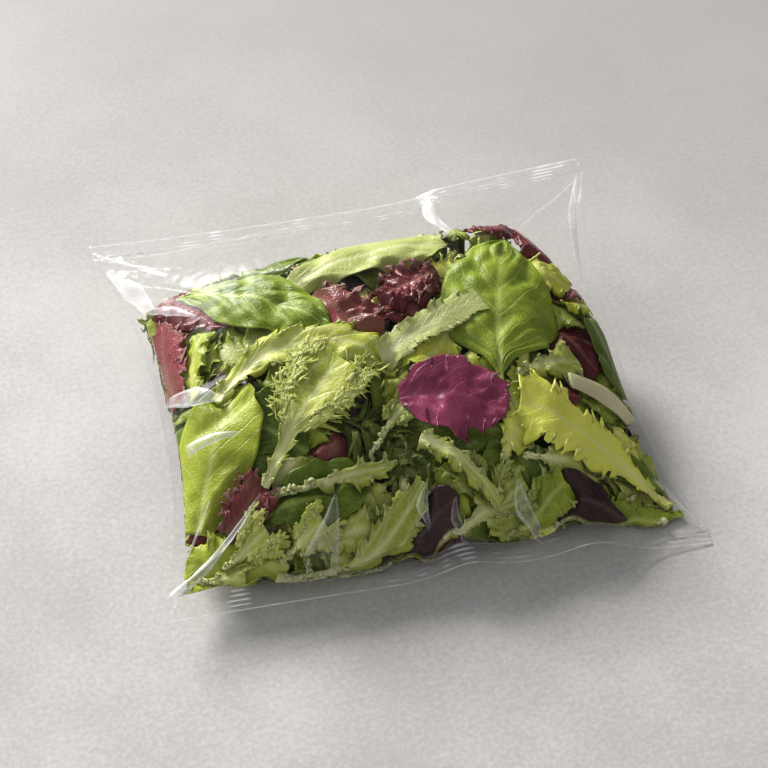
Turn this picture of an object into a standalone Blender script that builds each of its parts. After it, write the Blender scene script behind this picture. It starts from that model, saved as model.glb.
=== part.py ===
"""Bag of salad leaves: a clear pillow pack, filled, lying on its flat base.

The bag is a film tube with a crimped seal across each end. Filled, the tube swells between the
seals and its sides draw in, so the four corners stand out as flat ears. The whole pack is one
closed solid out to the film. Metres, +Z up, +X along the seals, +Y from the front seal to the
back seal. The origin is the middle of the footprint, on the surface that the bag rests on.
"""

import math

import bmesh
import bpy

# Driving dimensions
FLAT_WIDTH = 0.262          # along the seals
FLAT_LENGTH = 0.242         # over both seals, at the corners
FILLED_HEIGHT = 0.068       # from the surface to the top of the filled middle
SEAL_BAND = 0.012           # each crimped band, outer edge to inner edge
EDGE_THICKNESS = 0.0008     # of the seals and the pressed side folds

# How far the filled middle draws its edges in
SIDE_DRAW_IN = 0.0160
FRONT_DRAW_IN = 0.0020
BACK_DRAW_IN = 0.0040
EAR_SHARPNESS = 2.4         # higher makes shorter ears

# Heights of the seam that runs round the pack, halfway between its two films
FRONT_SEAM_LEFT = 0.0160    # the front left ear is held up
FRONT_SEAM_RIGHT = 0.0015   # and the front right one lies on the surface
BACK_SEAM_LEFT = 0.0300
BACK_SEAM_RIGHT = 0.0385
SIDE_SEAM = 0.0250          # halfway along the bag
CLIMB_FROM = 0.05           # the back seal climbs from here, as a share of the half width
BUCKLE_AT = 0.36            # one sharp buckle in the back seal
BUCKLE_HALF_WIDTH = 0.05
BUCKLE_HEIGHT = 0.0030
SEAL_DROOP = 0.0015         # a seal's cut edge hangs lower than its inner edge

# Waves in the front seal: centre and half width as shares of the half width, and height
FRONT_WAVES = ((0.09, 0.13, 0.0085), (0.32, 0.15, 0.0030), (0.56, 0.15, 0.0105))

# How full the pack is towards its edges: a higher power closes it more sharply
SIDE_ROUNDNESS = 2.3
END_ROUNDNESS = 2.2
SIDE_POWER = 0.50
SIDE_POWER_AT_SEALS = 1.25
END_POWER = 0.62
END_POWER_AT_SIDES = 0.87
BELLY = 2.1                 # how steeply the lower film comes down to the surface

# Crimps in the seals
CRIMP_DEPTH = 0.00035
CRIMP_ROWS = 6

# Lumps where leaves press on the film from inside: each wave's turns across and along the bag,
# its start and its share of the height
LUMP_HEIGHT = 0.0022
LUMP_WAVES = ((5.1, 1.9, 0.4, 0.37), (-3.2, 5.7, 1.1, 0.37), (8.3, -6.1, 2.0, 0.26))
LUMPS_UNDER_TOP = 0.6       # share of the lumps that stays below the filled height

# Mesh
COLUMNS = 42                # across the bag
BODY_ROWS = 34              # along the bag, between the seals
ROW_CROWDING = 0.55         # 0 for even rows, 1 for rows crowded towards the seals

FILM_COLOUR = (0.34, 0.44, 0.13, 1.0)


def clear_scene():
    for old in list(bpy.data.objects):
        bpy.data.objects.remove(old)


def smooth_step(low, high, x):
    t = min(1.0, max(0.0, (x - low) / (high - low)))
    return t * t * (3 - 2 * t)


def film_material():
    """The leaves' green as it shows through the clear film."""
    material = bpy.data.materials.new("leafy_film")
    material.use_nodes = True
    shader = material.node_tree.nodes["Principled BSDF"]
    shader.inputs["Base Color"].default_value = FILM_COLOUR
    shader.inputs["Roughness"].default_value = 0.12
    shader.inputs["Metallic"].default_value = 0.0
    return material


def row_place(row):
    """(along, band): along runs -1 to 1 over the filled body, and band is 0 there and runs to
    -1 or 1 over a seal, for a row counted from the front edge."""
    if row < CRIMP_ROWS:
        return -1.0, row / CRIMP_ROWS - 1.0
    if row > CRIMP_ROWS + BODY_ROWS:
        return 1.0, (row - CRIMP_ROWS - BODY_ROWS) / CRIMP_ROWS
    share = (row - CRIMP_ROWS) / BODY_ROWS
    # Rows crowd towards the seals, where the film turns most.
    crowded = -math.cos(math.pi * share)
    even = 2 * share - 1
    return ROW_CROWDING * crowded + (1 - ROW_CROWDING) * even, 0.0


def bump(x, centre, half_width):
    return math.exp(-((x - centre) / half_width) ** 2)


def seam_height(across, along):
    """Height of the seam surface: low at the front seal, higher at the sides and the back."""
    back = smooth_step(-1.0, 1.0, along)
    front = 1.0 - back
    rightward = (across + 1) / 2
    front_seam = FRONT_SEAM_LEFT + (FRONT_SEAM_RIGHT - FRONT_SEAM_LEFT) * rightward
    climb = smooth_step(CLIMB_FROM, 1.0, across)
    back_seam = BACK_SEAM_LEFT + (BACK_SEAM_RIGHT - BACK_SEAM_LEFT) * climb
    height = front_seam * front + back_seam * back
    height += (SIDE_SEAM - (front_seam + back_seam) / 2) * (1 - along * along)
    for centre, half_width, wave_height in FRONT_WAVES:
        height += wave_height * bump(across, centre, half_width) * front ** 3
    buckle = smooth_step(BUCKLE_AT - BUCKLE_HALF_WIDTH, BUCKLE_AT + BUCKLE_HALF_WIDTH, across)
    buckle -= smooth_step(BUCKLE_AT, 1.0, across)
    height += BUCKLE_HEIGHT * buckle * back ** 3
    return height


def fullness(across, along):
    """0 on the seam to 1 in the filled middle. The sides are round halfway along the bag and
    pressed flat near the seals; towards a seal the pack closes like a wedge."""
    side_power = SIDE_POWER + (SIDE_POWER_AT_SEALS - SIDE_POWER) * along ** 4
    end_power = END_POWER + (END_POWER_AT_SIDES - END_POWER) * across * across
    side = max(0.0, 1 - abs(across) ** SIDE_ROUNDNESS) ** side_power
    end = max(0.0, 1 - abs(along) ** END_ROUNDNESS) ** end_power
    return side * end


def lumps(across, along):
    """Low swells over the heap, from three crossing waves."""
    return LUMP_HEIGHT * sum(
        share * math.sin(turns_across * across + turns_along * along + start)
        for turns_across, turns_along, start, share in LUMP_WAVES
    )


def bag_point(across, along, band, upper):
    """Point of the upper or lower film at a share of the width, the body length and a seal."""
    drawn = 1 - abs(along) ** EAR_SHARPNESS
    half_width = FLAT_WIDTH / 2 - SIDE_DRAW_IN * drawn
    x = half_width * across
    body_half = FLAT_LENGTH / 2 - SEAL_BAND
    draw_in = FRONT_DRAW_IN if along < 0 else BACK_DRAW_IN
    y = along * (body_half - draw_in * (1 - abs(across) ** EAR_SHARPNESS))
    y += band * SEAL_BAND
    seam = seam_height(across, along)
    half_edge = EDGE_THICKNESS / 2
    if band:
        # The seal carries on outwards, a little lower towards its cut edge, with its crimps.
        ridge = CRIMP_DEPTH * math.cos(math.pi * CRIMP_ROWS * band)
        z = seam - SEAL_DROOP * abs(band) + ridge + (half_edge if upper else -half_edge)
        return x, y, max(z, EDGE_THICKNESS if upper else 0.0)
    full = fullness(across, along)
    if upper:
        rise = FILLED_HEIGHT - LUMPS_UNDER_TOP * LUMP_HEIGHT - SIDE_SEAM
        z = seam + half_edge + full * (rise + lumps(across, along))
        return x, y, max(z, EDGE_THICKNESS)
    # The lower film bellies down until it lies flat on the surface.
    z = seam - half_edge - full * BELLY * SIDE_SEAM
    return x, y, max(z, 0.0)


def make_bag():
    """A flat grid, extruded once for its two films, with every corner put in place by rule."""
    rows = BODY_ROWS + 2 * CRIMP_ROWS
    shape = bmesh.new()
    bmesh.ops.create_grid(shape, x_segments=COLUMNS, y_segments=rows, size=1.0)
    lower = list(shape.verts)
    made = bmesh.ops.extrude_face_region(shape, geom=list(shape.faces), use_keep_orig=True)
    upper = [part for part in made["geom"] if isinstance(part, bmesh.types.BMVert)]
    for corners, is_upper in ((lower, False), (upper, True)):
        for corner in corners:
            row = round((corner.co.y + 1) / 2 * rows)
            along, band = row_place(row)
            corner.co = bag_point(corner.co.x, along, band, is_upper)
    middle = [
        (max(v.co[axis] for v in shape.verts) + min(v.co[axis] for v in shape.verts)) / 2
        for axis in (0, 1)
    ]
    bmesh.ops.translate(shape, verts=shape.verts, vec=(-middle[0], -middle[1], 0.0))
    bmesh.ops.recalc_face_normals(shape, faces=shape.faces)
    mesh = bpy.data.meshes.new("salad_bag")
    shape.to_mesh(mesh)
    shape.free()
    mesh.shade_smooth()
    mesh.set_sharp_from_angle(angle=math.radians(40))
    mesh.materials.append(film_material())
    return bpy.data.objects.new("salad_bag", mesh)


def main():
    clear_scene()
    parts = bpy.data.collections.new("bag_of_salad_leaves")
    bpy.context.scene.collection.children.link(parts)
    parts.objects.link(make_bag())


main()
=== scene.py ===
# %% [markdown]
# A bag of salad leaves
#
# A clear film pillow pack lies on a pale stone top, full of mixed leaves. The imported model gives
# one closed solid, out to the film. This script puts the real things in its place: the film as a
# thin clear skin, and inside it a heap of separate leaves, laid one under the other.
# The frame comes first, because every place below is worked out from its box.

# %% Load the frame
import math

import bpy
import numpy as np
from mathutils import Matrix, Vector


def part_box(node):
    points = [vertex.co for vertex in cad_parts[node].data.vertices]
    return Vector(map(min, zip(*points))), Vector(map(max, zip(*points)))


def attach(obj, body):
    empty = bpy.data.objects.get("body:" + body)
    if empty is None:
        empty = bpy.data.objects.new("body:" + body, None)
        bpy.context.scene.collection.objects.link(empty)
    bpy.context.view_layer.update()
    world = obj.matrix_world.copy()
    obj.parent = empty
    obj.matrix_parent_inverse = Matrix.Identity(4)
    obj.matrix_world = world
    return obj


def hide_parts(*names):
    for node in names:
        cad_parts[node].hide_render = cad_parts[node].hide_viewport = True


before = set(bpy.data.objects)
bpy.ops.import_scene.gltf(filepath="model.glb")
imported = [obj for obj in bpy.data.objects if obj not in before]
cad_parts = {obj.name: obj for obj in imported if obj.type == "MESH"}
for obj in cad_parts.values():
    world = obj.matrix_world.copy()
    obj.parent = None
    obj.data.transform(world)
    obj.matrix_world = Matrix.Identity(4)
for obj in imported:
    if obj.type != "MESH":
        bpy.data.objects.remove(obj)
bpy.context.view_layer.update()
low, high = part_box("salad_bag")
MM = 0.001
WIDTH = high.x - low.x
LENGTH = high.y - low.y
print("bag", round(WIDTH / MM), "x", round(LENGTH / MM), "x", round(high.z / MM), "mm")

# %% [markdown]
# The shape of the pillow
#
# The bag is a tube of film, sealed across both ends. A place on it is given by two shares:
# `across`, from -1 at the left side to 1 at the right, and `along`, from -1 at the front seal to
# 1 at the back seal. The two films part from one seam surface, the upper one by the height of
# the filling, and the lower one until it lies flat. It could be sculpted or blown up by a cloth
# simulation, but a formula gives the same shape each time, and it can also be asked how high the
# film is over any leaf.

# %% Shares of the bag
SEAL_BAND = 12 * MM
FILM_STEP = 0.4 * MM            # half the film pack's thickness at its edges
SIDE_DRAW_IN = 16 * MM
FRONT_DRAW_IN = 2 * MM
BACK_DRAW_IN = 4 * MM
EAR_SHARPNESS = 2.4
FILLED_HEIGHT = 68 * MM
SIDE_SEAM = 25 * MM
FRONT_SEAM = (16 * MM, 1.5 * MM)
BACK_SEAM = (30 * MM, 38.5 * MM)
FRONT_WAVES = ((0.09, 0.13, 8.5 * MM), (0.32, 0.15, 3.0 * MM), (0.56, 0.15, 10.5 * MM))
LUMP_WAVES = ((5.1, 1.9, 0.4, 0.37), (-3.2, 5.7, 1.1, 0.37), (8.3, -6.1, 2.0, 0.26))
LUMP_HEIGHT = 2.2 * MM
BUCKLE_AT = 0.36
BUCKLE_HEIGHT = 3 * MM


def smooth(low_end, high_end, x):
    """0 below the low end, 1 above the high end, and an S curve between them."""
    t = np.clip((x - low_end) / (high_end - low_end), 0, 1)
    return t * t * (3 - 2 * t)


def waves_of(x, y, wavelength, seed, count=9):
    """Smooth noise between about -1 and 1: waves of one length in random directions."""
    turn = np.random.default_rng(seed)
    total = 0
    for _ in range(count):
        angle, phase = turn.uniform(0, 2 * math.pi, 2)
        rate = 2 * math.pi / wavelength * turn.uniform(0.7, 1.4)
        total = total + np.sin(rate * (x * math.cos(angle) + y * math.sin(angle)) + phase)
    return total / math.sqrt(count)


def seam_height(across, along):
    """Height of the seam: front and back seals blended along the bag, plus the waves in the
    front seal and the climb and buckle in the back one."""
    back = smooth(-1, 1, along)
    front = 1 - back
    front_seam = FRONT_SEAM[0] + (FRONT_SEAM[1] - FRONT_SEAM[0]) * (across + 1) / 2
    back_seam = BACK_SEAM[0] + (BACK_SEAM[1] - BACK_SEAM[0]) * smooth(0.05, 1, across)
    height = front_seam * front + back_seam * back
    height = height + (SIDE_SEAM - (front_seam + back_seam) / 2) * (1 - along**2)
    for centre, half_width, wave in FRONT_WAVES:
        height = height + wave * np.exp(-(((across - centre) / half_width) ** 2)) * front**3
    buckle = smooth(BUCKLE_AT - 0.05, BUCKLE_AT + 0.05, across) - smooth(BUCKLE_AT, 1, across)
    return height + BUCKLE_HEIGHT * buckle * back**3


def fullness(across, along):
    """0 on the seam to 1 in the filled middle, as one power law across and one along."""
    side = np.maximum(0, 1 - np.abs(across) ** 2.3) ** (0.50 + 0.75 * along**4)
    end = np.maximum(0, 1 - np.abs(along) ** 2.2) ** (0.62 + 0.25 * across**2)
    return side * end


def roof(across, along):
    """Height of the upper film: the seam, plus fullness times the filling's rise and lumps."""
    lumps = sum(w * np.sin(a * across + b * along + c) for a, b, c, w in LUMP_WAVES)
    rise = FILLED_HEIGHT - 0.6 * LUMP_HEIGHT - SIDE_SEAM + LUMP_HEIGHT * lumps
    upper = seam_height(across, along) + FILM_STEP + fullness(across, along) * rise
    return np.maximum(upper, 2 * FILM_STEP)


def ground(across, along):
    """Height of the lower film: the seam less a belly that comes down to lie flat at zero."""
    belly = fullness(across, along) * 2.1 * SIDE_SEAM
    return np.maximum(seam_height(across, along) - FILM_STEP - belly, 0)


def half_spans(across, along):
    """Half width at a share along, and half length between the seals at a share across."""
    half_width = WIDTH / 2 - SIDE_DRAW_IN * (1 - np.minimum(np.abs(along), 1) ** EAR_SHARPNESS)
    draw_in = np.where(along < 0, FRONT_DRAW_IN, BACK_DRAW_IN)
    curve = 1 - np.minimum(np.abs(across), 1) ** EAR_SHARPNESS
    return half_width, LENGTH / 2 - SEAL_BAND - draw_in * curve


def plan(across, along):
    """Place on the surface, in metres, of two shares."""
    half_width, half_length = half_spans(across, along)
    return across * half_width, along * half_length


def shares(x, y):
    """The two shares of a place in metres, by repeated correction from the plain rectangle."""
    across, along = x / (WIDTH / 2), y / (LENGTH / 2 - SEAL_BAND)
    for _ in range(5):
        half_width, half_length = half_spans(across, along)
        across, along = x / half_width, y / half_length
    return across, along


def straight(start, end):
    """The straight way between two places in shares: its first place in metres, its length and
    its direction."""
    x0, y0 = plan(*start)
    x1, y1 = plan(*end)
    span = math.hypot(x1 - x0, y1 - y0)
    return x0, y0, span, (x1 - x0) / span, (y1 - y0) / span


print("film is", round(float(roof(0.0, 0.0)) / MM, 1), "mm high in the middle")

# %% [markdown]
# From arrays to a mesh
#
# Every piece is made of sheets: arrays of points, as many sheets deep as there are leaves, with
# rows along the leaf and columns across it. A sheet gets its thickness by a second layer of
# points behind it and a rim round the edge, so each leaf is a closed shell. Blender's Solidify
# would do this too, but here the underside also gets its own mark for the material and its own
# room in a texture atlas.

# %% Sheets and shells
def surface_normals(points):
    """Unit normals of sheets of points (sheet, row, column, xyz), from the cross product of the
    steps along the rows and along the columns."""
    down = np.gradient(points, axis=1)
    right = np.gradient(points, axis=2)
    normals = np.cross(down, right)
    return normals / np.maximum(np.linalg.norm(normals, axis=-1, keepdims=True), 1e-12)


def grid_faces(rows, columns):
    """Corner numbers of the quads of one grid, counted row by row."""
    corner = np.arange(rows * columns).reshape(rows, columns)
    quads = (corner[:-1, :-1], corner[1:, :-1], corner[1:, 1:], corner[:-1, 1:])
    return np.stack(quads, -1).reshape(-1, 4)


def rim_loop(rows, columns):
    """Corner numbers once round the edge of a grid."""
    corner = np.arange(rows * columns).reshape(rows, columns)
    sides = (corner[:-1, 0], corner[-1, :-1], corner[:0:-1, -1], corner[0, :0:-1])
    return np.concatenate(sides)


def shell(points, back, marks, tone=0.5):
    """One closed shell for each sheet: the front grid, the back grid turned round, and a rim of
    quads between their edges. marks is (sheet, row, column, 4): share along, share across,
    closeness to the rib, and a number of its own for each leaf."""
    sheets, rows, columns, _ = points.shape
    count = rows * columns
    front_faces = grid_faces(rows, columns)
    back_faces = front_faces[:, ::-1] + count
    loop = rim_loop(rows, columns)
    after = np.roll(loop, -1)
    rim = np.stack([loop, loop + count, after + count, after], -1)
    one = np.concatenate([front_faces, back_faces, rim])
    is_rim = np.zeros(len(one), bool)
    is_rim[-len(rim):] = True
    starts = np.arange(sheets)[:, None, None] * 2 * count
    corners = np.concatenate([points.reshape(sheets, count, 3), back.reshape(sheets, count, 3)], 1)
    marks = marks.reshape(sheets, count, 4)
    side = np.concatenate([np.zeros((sheets, count)), np.ones((sheets, count))], 1)
    share = np.stack(np.meshgrid(np.linspace(0, 1, columns), np.linspace(0, 1, rows)), -1)
    return {
        "points": corners.reshape(-1, 3),
        "faces": (one[None] + starts).reshape(-1, 4),
        "rim": np.tile(is_rim, sheets),
        "marks": np.concatenate([marks, marks], 1).reshape(-1, 4),
        "side": side.reshape(-1),
        "tone": np.full(side.size, tone),
        "grids": 2 * sheets,
        "count": count,
        "share": np.tile(share.reshape(1, count, 2), (2 * sheets, 1, 1)).reshape(-1, 2),
    }


ATLAS_GAP = 0.04                # free margin round each grid, as a share of its square


def atlas(shells):
    """Each grid's own square of the unit square, filled row by row; a rim takes its front's."""
    total = sum(s["grids"] for s in shells)
    per_row = math.ceil(math.sqrt(total))
    first = 0
    maps = []
    for s in shells:
        number = first + np.repeat(np.arange(s["grids"]), s["count"])
        corner = np.stack([number % per_row, number // per_row], -1)
        maps.append((corner + ATLAS_GAP + (1 - 2 * ATLAS_GAP) * s["share"]) / per_row)
        first += s["grids"]
    return maps


def make_piece(name, shells, material):
    """Joins shells into one mesh with smooth faces, its marks as attributes and its atlas."""
    maps = atlas(shells)
    starts = np.cumsum([0] + [len(s["points"]) for s in shells])
    points = np.concatenate([s["points"] for s in shells])
    faces = np.concatenate([s["faces"] + start for s, start in zip(shells, starts)])
    mesh = bpy.data.meshes.new(name)
    mesh.vertices.add(len(points))
    mesh.vertices.foreach_set("co", points.astype(np.float32).ravel())
    mesh.loops.add(faces.size)
    mesh.polygons.add(len(faces))
    mesh.polygons.foreach_set("loop_start", np.arange(len(faces), dtype=np.int32) * 4)
    mesh.loops.foreach_set("vertex_index", faces.astype(np.int32).ravel())
    mesh.polygons.foreach_set("use_smooth", np.ones(len(faces), bool))
    mesh.update(calc_edges=True)
    marks = np.concatenate([s["marks"] for s in shells])
    side = np.concatenate([s["side"] for s in shells])
    tone = np.concatenate([s["tone"] for s in shells])
    look = np.stack([marks[:, 3], side, tone], -1)
    for title, values in (("leaf", marks[:, :3]), ("look", look)):
        layer = mesh.attributes.new(title, "FLOAT_VECTOR", "POINT")
        layer.data.foreach_set("vector", values.astype(np.float32).ravel())
    uv = np.concatenate(maps)
    in_front = []
    for s, start in zip(shells, starts):
        behind = s["rim"][:, None] & (s["side"][s["faces"]] > 0)
        in_front.append(np.where(behind, s["faces"] - s["count"], s["faces"]) + start)
    layer = mesh.uv_layers.new(name="OFBake")
    layer.data.foreach_set("uv", uv[np.concatenate(in_front).ravel()].astype(np.float32).ravel())
    mesh.materials.append(material)
    piece = bpy.data.objects.new(name, mesh)
    bpy.context.scene.collection.objects.link(piece)
    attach(piece, "root")
    print(name, len(faces) * 2, "triangles")
    return piece


# %% [markdown]
# Shader maths as plain expressions
#
# A material here is a sum of small patterns. Written by hand as nodes it would be long, so one
# class wraps a socket and gives it the usual signs: `1 - mask * 0.5` adds its two Math nodes.

# %% The wire class
class Wire:
    """An output socket with arithmetic. Each sign adds one Math node to its tree."""

    def __init__(self, tree, socket):
        self.tree = tree
        self.socket = socket

    def node(self, kind, settings=None, inputs=None, out=0):
        """Any node: its type, its settings, and the values or wires of its sockets."""
        made = self.tree.nodes.new(kind)
        for key, value in (settings or {}).items():
            setattr(made, key, value)
        for key, value in (inputs or {}).items():
            if isinstance(value, Wire):
                self.tree.links.new(value.socket, made.inputs[key])
            else:
                made.inputs[key].default_value = value
        return Wire(self.tree, made.outputs[out])

    def into(self, node, name):
        """Links the wire to a socket of a node."""
        self.tree.links.new(self.socket, node.inputs[name])

    def marks(self, name):
        """The three numbers of one of the marks that make_piece gives a piece."""
        return self.node("ShaderNodeAttribute", {"attribute_name": name}, out=1).parts()

    def maths(self, operation, *values, clamp=False):
        """A Math node of any operation."""
        settings = {"operation": operation, "use_clamp": clamp}
        return self.node("ShaderNodeMath", settings, dict(enumerate(values)))

    def __add__(self, other):
        return self.maths("ADD", self, other)

    def __sub__(self, other):
        return self.maths("SUBTRACT", self, other)

    def __mul__(self, other):
        return self.maths("MULTIPLY", self, other)

    def __truediv__(self, other):
        return self.maths("DIVIDE", self, other)

    def __pow__(self, other):
        return self.maths("POWER", self, other)

    def __radd__(self, other):
        return self.maths("ADD", other, self)

    def __rsub__(self, other):
        return self.maths("SUBTRACT", other, self)

    def __rmul__(self, other):
        return self.maths("MULTIPLY", other, self)

    def size(self):
        """The value without its sign."""
        return self.maths("ABSOLUTE", self)

    def fraction(self):
        """What is left over the next lower whole number."""
        return self.maths("FRACT", self)

    def clamped(self):
        """The value kept between 0 and 1."""
        return self.maths("ADD", self, 0.0, clamp=True)

    def most(self, other):
        """The larger of two values."""
        return self.maths("MAXIMUM", self, other)

    def between(self, low_end, high_end):
        """0 at the low end, 1 at the high end, with an S curve between."""
        inputs = {0: self, 1: low_end, 2: high_end}
        return self.node("ShaderNodeMapRange", {"interpolation_type": "SMOOTHSTEP"}, inputs)

    def blend(self, first, second):
        """The first colour where this wire is 0 and the second where it is 1."""
        settings = {"data_type": "RGBA"}
        first = (*first, 1) if isinstance(first, tuple) else first
        second = (*second, 1) if isinstance(second, tuple) else second
        return self.node("ShaderNodeMix", settings, {0: self, 6: first, 7: second}, out=2)

    def parts(self):
        """The three numbers of a vector or a point."""
        split = self.node("ShaderNodeSeparateXYZ", None, {0: self}).socket.node
        return [Wire(self.tree, socket) for socket in split.outputs]


def new_material(name):
    """A material with its Principled shader, and a wire with the object's own coordinates."""
    material = bpy.data.materials.new(name)
    material.use_nodes = True
    tree = material.node_tree
    shader = tree.nodes["Principled BSDF"]
    start = Wire(tree, None).node("ShaderNodeTexCoord", out=3)
    return material, tree, shader, start


def make_clear(tree, shader, share):
    """Lets light straight through a material, but for the share that its shader gets."""
    clear = share.node("ShaderNodeBsdfTransparent")
    mixed = share.node("ShaderNodeMixShader", None,
                       {0: share, 1: clear, 2: Wire(tree, shader.outputs[0])})
    mixed.into(tree.nodes["Material Output"], "Surface")


def noise(start, scale, detail=2.0, roughness=0.5, distortion=0.0):
    """Noise between about 0 and 1, with `scale` lumps to the metre."""
    inputs = {"Vector": start, "Scale": scale, "Detail": detail, "Roughness": roughness,
              "Distortion": distortion}
    return start.node("ShaderNodeTexNoise", None, inputs)


# %% [markdown]
# Leaf materials
#
# All the leaves share one recipe with different colours; those of the shaded red leaf are
# painted shade. Reading a leaf's own marks, it draws side veins that leave the rib at a slant, a
# fine net between them, a pale rib, and a margin of its own colour. Slow noise mottles the blade
# and each leaf has its own tone. The underside is paler. A little light goes through a leaf,
# which is subsurface scattering on the shader itself.

# %% Leaf material recipe
def leaf_material(name, dark, light, rib, margin, veins=7, slant=0.35, vein_show=0.35,
                  rib_show=0.8, gloss=0.38, glow=0.12, blotch=None):
    """One leaf material. dark and light are the ends of the blade's colour, veins counts the side
    veins and slant leans them, and the shows are shares of the rib's colour."""
    material, tree, shader, start = new_material(name)
    along, across, near_rib = start.marks("leaf")
    own, side, tone = start.marks("look")
    out_from_rib = across.size()
    wobble = noise(start, 120.0) - 0.5
    phase = (along - out_from_rib * slant) * veins + own * 3.0 + wobble * 0.35
    from_vein = (phase.fraction() - 0.5).size()
    thin = 0.10 - out_from_rib * 0.07
    vein = (1 - (from_vein / thin)).clamped()
    cells = start.node("ShaderNodeTexVoronoi", {"feature": "DISTANCE_TO_EDGE"},
                       {"Vector": start, "Scale": 420.0})
    net = 1 - cells.between(0.0, 0.14)
    patches = noise(start, 60.0, 3.0, 0.55)
    shade = (patches * 1.6 - 0.45 + (tone - 0.5) * 1.3).clamped()
    colour = shade.blend(dark, light)
    if blotch:
        spread = noise(start, 34.0, 2.0, 0.6) + (own - 0.5) * 0.5
        colour = spread.between(0.52, 0.66).blend(colour, blotch)
    at_margin = out_from_rib.between(0.72, 1.0).most(along.between(0.86, 1.0))
    colour = (at_margin * 0.3).blend(colour, margin)
    lines = (vein * vein_show).most(net * vein_show * 0.45)
    colour = lines.blend(colour, rib)
    colour = (near_rib * rib_show).clamped().blend(colour, rib)
    underside = tuple(0.55 * part + 0.18 for part in rib)
    colour = (side * 0.34).blend(colour, underside)
    colour.into(shader, "Base Color")
    height = vein * -0.5 + net * -0.22 + noise(start, 700.0) * 0.22 + patches * 0.5
    bump = {"Strength": 0.55, "Distance": 0.0006, "Height": height}
    normal = start.node("ShaderNodeBump", None, bump)
    normal.into(shader, "Normal")
    rough = gloss + (patches - 0.5) * 0.25 + side * 0.12
    rough.into(shader, "Roughness")
    shader.inputs["Specular IOR Level"].default_value = 0.22
    shader.inputs["Subsurface Weight"].default_value = glow
    shader.inputs["Subsurface Radius"].default_value = (0.6, 1.0, 0.2)
    shader.inputs["Subsurface Scale"].default_value = 1.5 * MM
    return material


leaf_looks = {
    "spinach": leaf_material("spinach_green", (0.125, 0.194, 0.007), (0.400, 0.500, 0.043),
                             (0.600, 0.700, 0.175), (0.275, 0.388, 0.019), veins=6, gloss=0.42),
    "smooth": leaf_material("smooth_green", (0.069, 0.115, 0.006), (0.201, 0.282, 0.017),
                            (0.391, 0.483, 0.103), (0.149, 0.230, 0.009), veins=8, gloss=0.30),
    "pale": leaf_material("pale_green", (0.28, 0.34, 0.060), (0.55, 0.59, 0.21),
                          (0.72, 0.74, 0.42), (0.34, 0.42, 0.06), veins=9, gloss=0.36),
    "lettuce": leaf_material("lettuce_green", (0.146, 0.207, 0.004), (0.451, 0.525, 0.043),
                             (0.671, 0.708, 0.232), (0.293, 0.390, 0.007), veins=7, gloss=0.36),
    "yellow": leaf_material("yellow_green", (0.416, 0.468, 0.016), (0.858, 0.900, 0.117),
                            (0.900, 0.900, 0.390), (0.572, 0.663, 0.039), veins=7, gloss=0.38),
    "frisee": leaf_material("frisee_green", (0.218, 0.276, 0.011), (0.517, 0.575, 0.075),
                            (0.851, 0.862, 0.460), (0.368, 0.448, 0.017), veins=4, gloss=0.36,
                            rib_show=0.95),
    "mizuna": leaf_material("deep_green_fronds", (0.044, 0.068, 0.003), (0.187, 0.242, 0.018),
                            (0.330, 0.385, 0.088), (0.121, 0.171, 0.007), veins=3, gloss=0.38),
    "lollo": leaf_material("dark_red_frills", (0.096, 0.014, 0.018), (0.324, 0.066, 0.077),
                           (0.312, 0.156, 0.108), (0.204, 0.022, 0.026), veins=6, gloss=0.30,
                           vein_show=0.15, blotch=(0.192, 0.066, 0.048)),
    "red": leaf_material("red_leaf", (0.092, 0.011, 0.014), (0.236, 0.044, 0.046),
                         (0.368, 0.127, 0.127), (0.172, 0.021, 0.025), veins=6, gloss=0.28,
                         vein_show=0.2, rib_show=0.5),
    "radicchio": leaf_material("purple_leaf", (0.182, 0.022, 0.063), (0.448, 0.077, 0.168),
                               (0.476, 0.140, 0.224), (0.238, 0.035, 0.084), veins=6, gloss=0.32,
                               vein_show=0.22, rib_show=0.4),
    # painted shade: a red leaf coloured nearly black-brown, as red leaves look in shade at the
    # front of the heap
    "shade_red": leaf_material("red_leaf_painted_shade", (0.026, 0.011, 0.011), (0.080, 0.036, 0.032),
                               (0.13, 0.08, 0.07), (0.06, 0.022, 0.022), veins=7, gloss=0.30,
                               vein_show=0.2),
    "stem": leaf_material("cream_stem", (0.62, 0.57, 0.33), (0.82, 0.77, 0.52),
                          (0.70, 0.65, 0.44), (0.60, 0.55, 0.32), veins=2, vein_show=0.1,
                          gloss=0.35, glow=0.25),
}

# %% [markdown]
# Leaf shapes
#
# A leaf is a sheet worked out from two numbers: `s` along its rib from 0 at the cut end to 1 at
# the tip, and `t` across from -1 to 1. The outline gives the half width at each `s`. A frilly
# leaf grows faster at its margin than at its rib, so its margin is too long and has to wave:
# here a wave whose height rises steeply with `|t|`. Spinach puffs up between its veins instead.

# %% Blades
def profile(points, s):
    """Outline from a few (s, half width) pairs, joined by lines that ease in and out a little."""
    places = np.array([p[0] for p in points])
    values = np.array([p[1] for p in points])
    index = np.clip(np.searchsorted(places, s, side="right") - 1, 0, len(points) - 2)
    t = np.clip((s - places[index]) / (places[index + 1] - places[index]), 0, 1)
    rounded = 0.5 * t + 0.5 * t * t * (3 - 2 * t)
    return values[index] + (values[index + 1] - values[index]) * rounded


def saw(s, rate, draw):
    """Teeth of uneven length that lean towards the tip: each rises slowly and falls at once."""
    start, warp = draw.uniform(0, 1), draw.uniform(0, 2 * math.pi)
    place = s * rate + start + 0.45 * np.sin(2.3 * s * rate + warp)
    return (place % 1) ** 1.3


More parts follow.
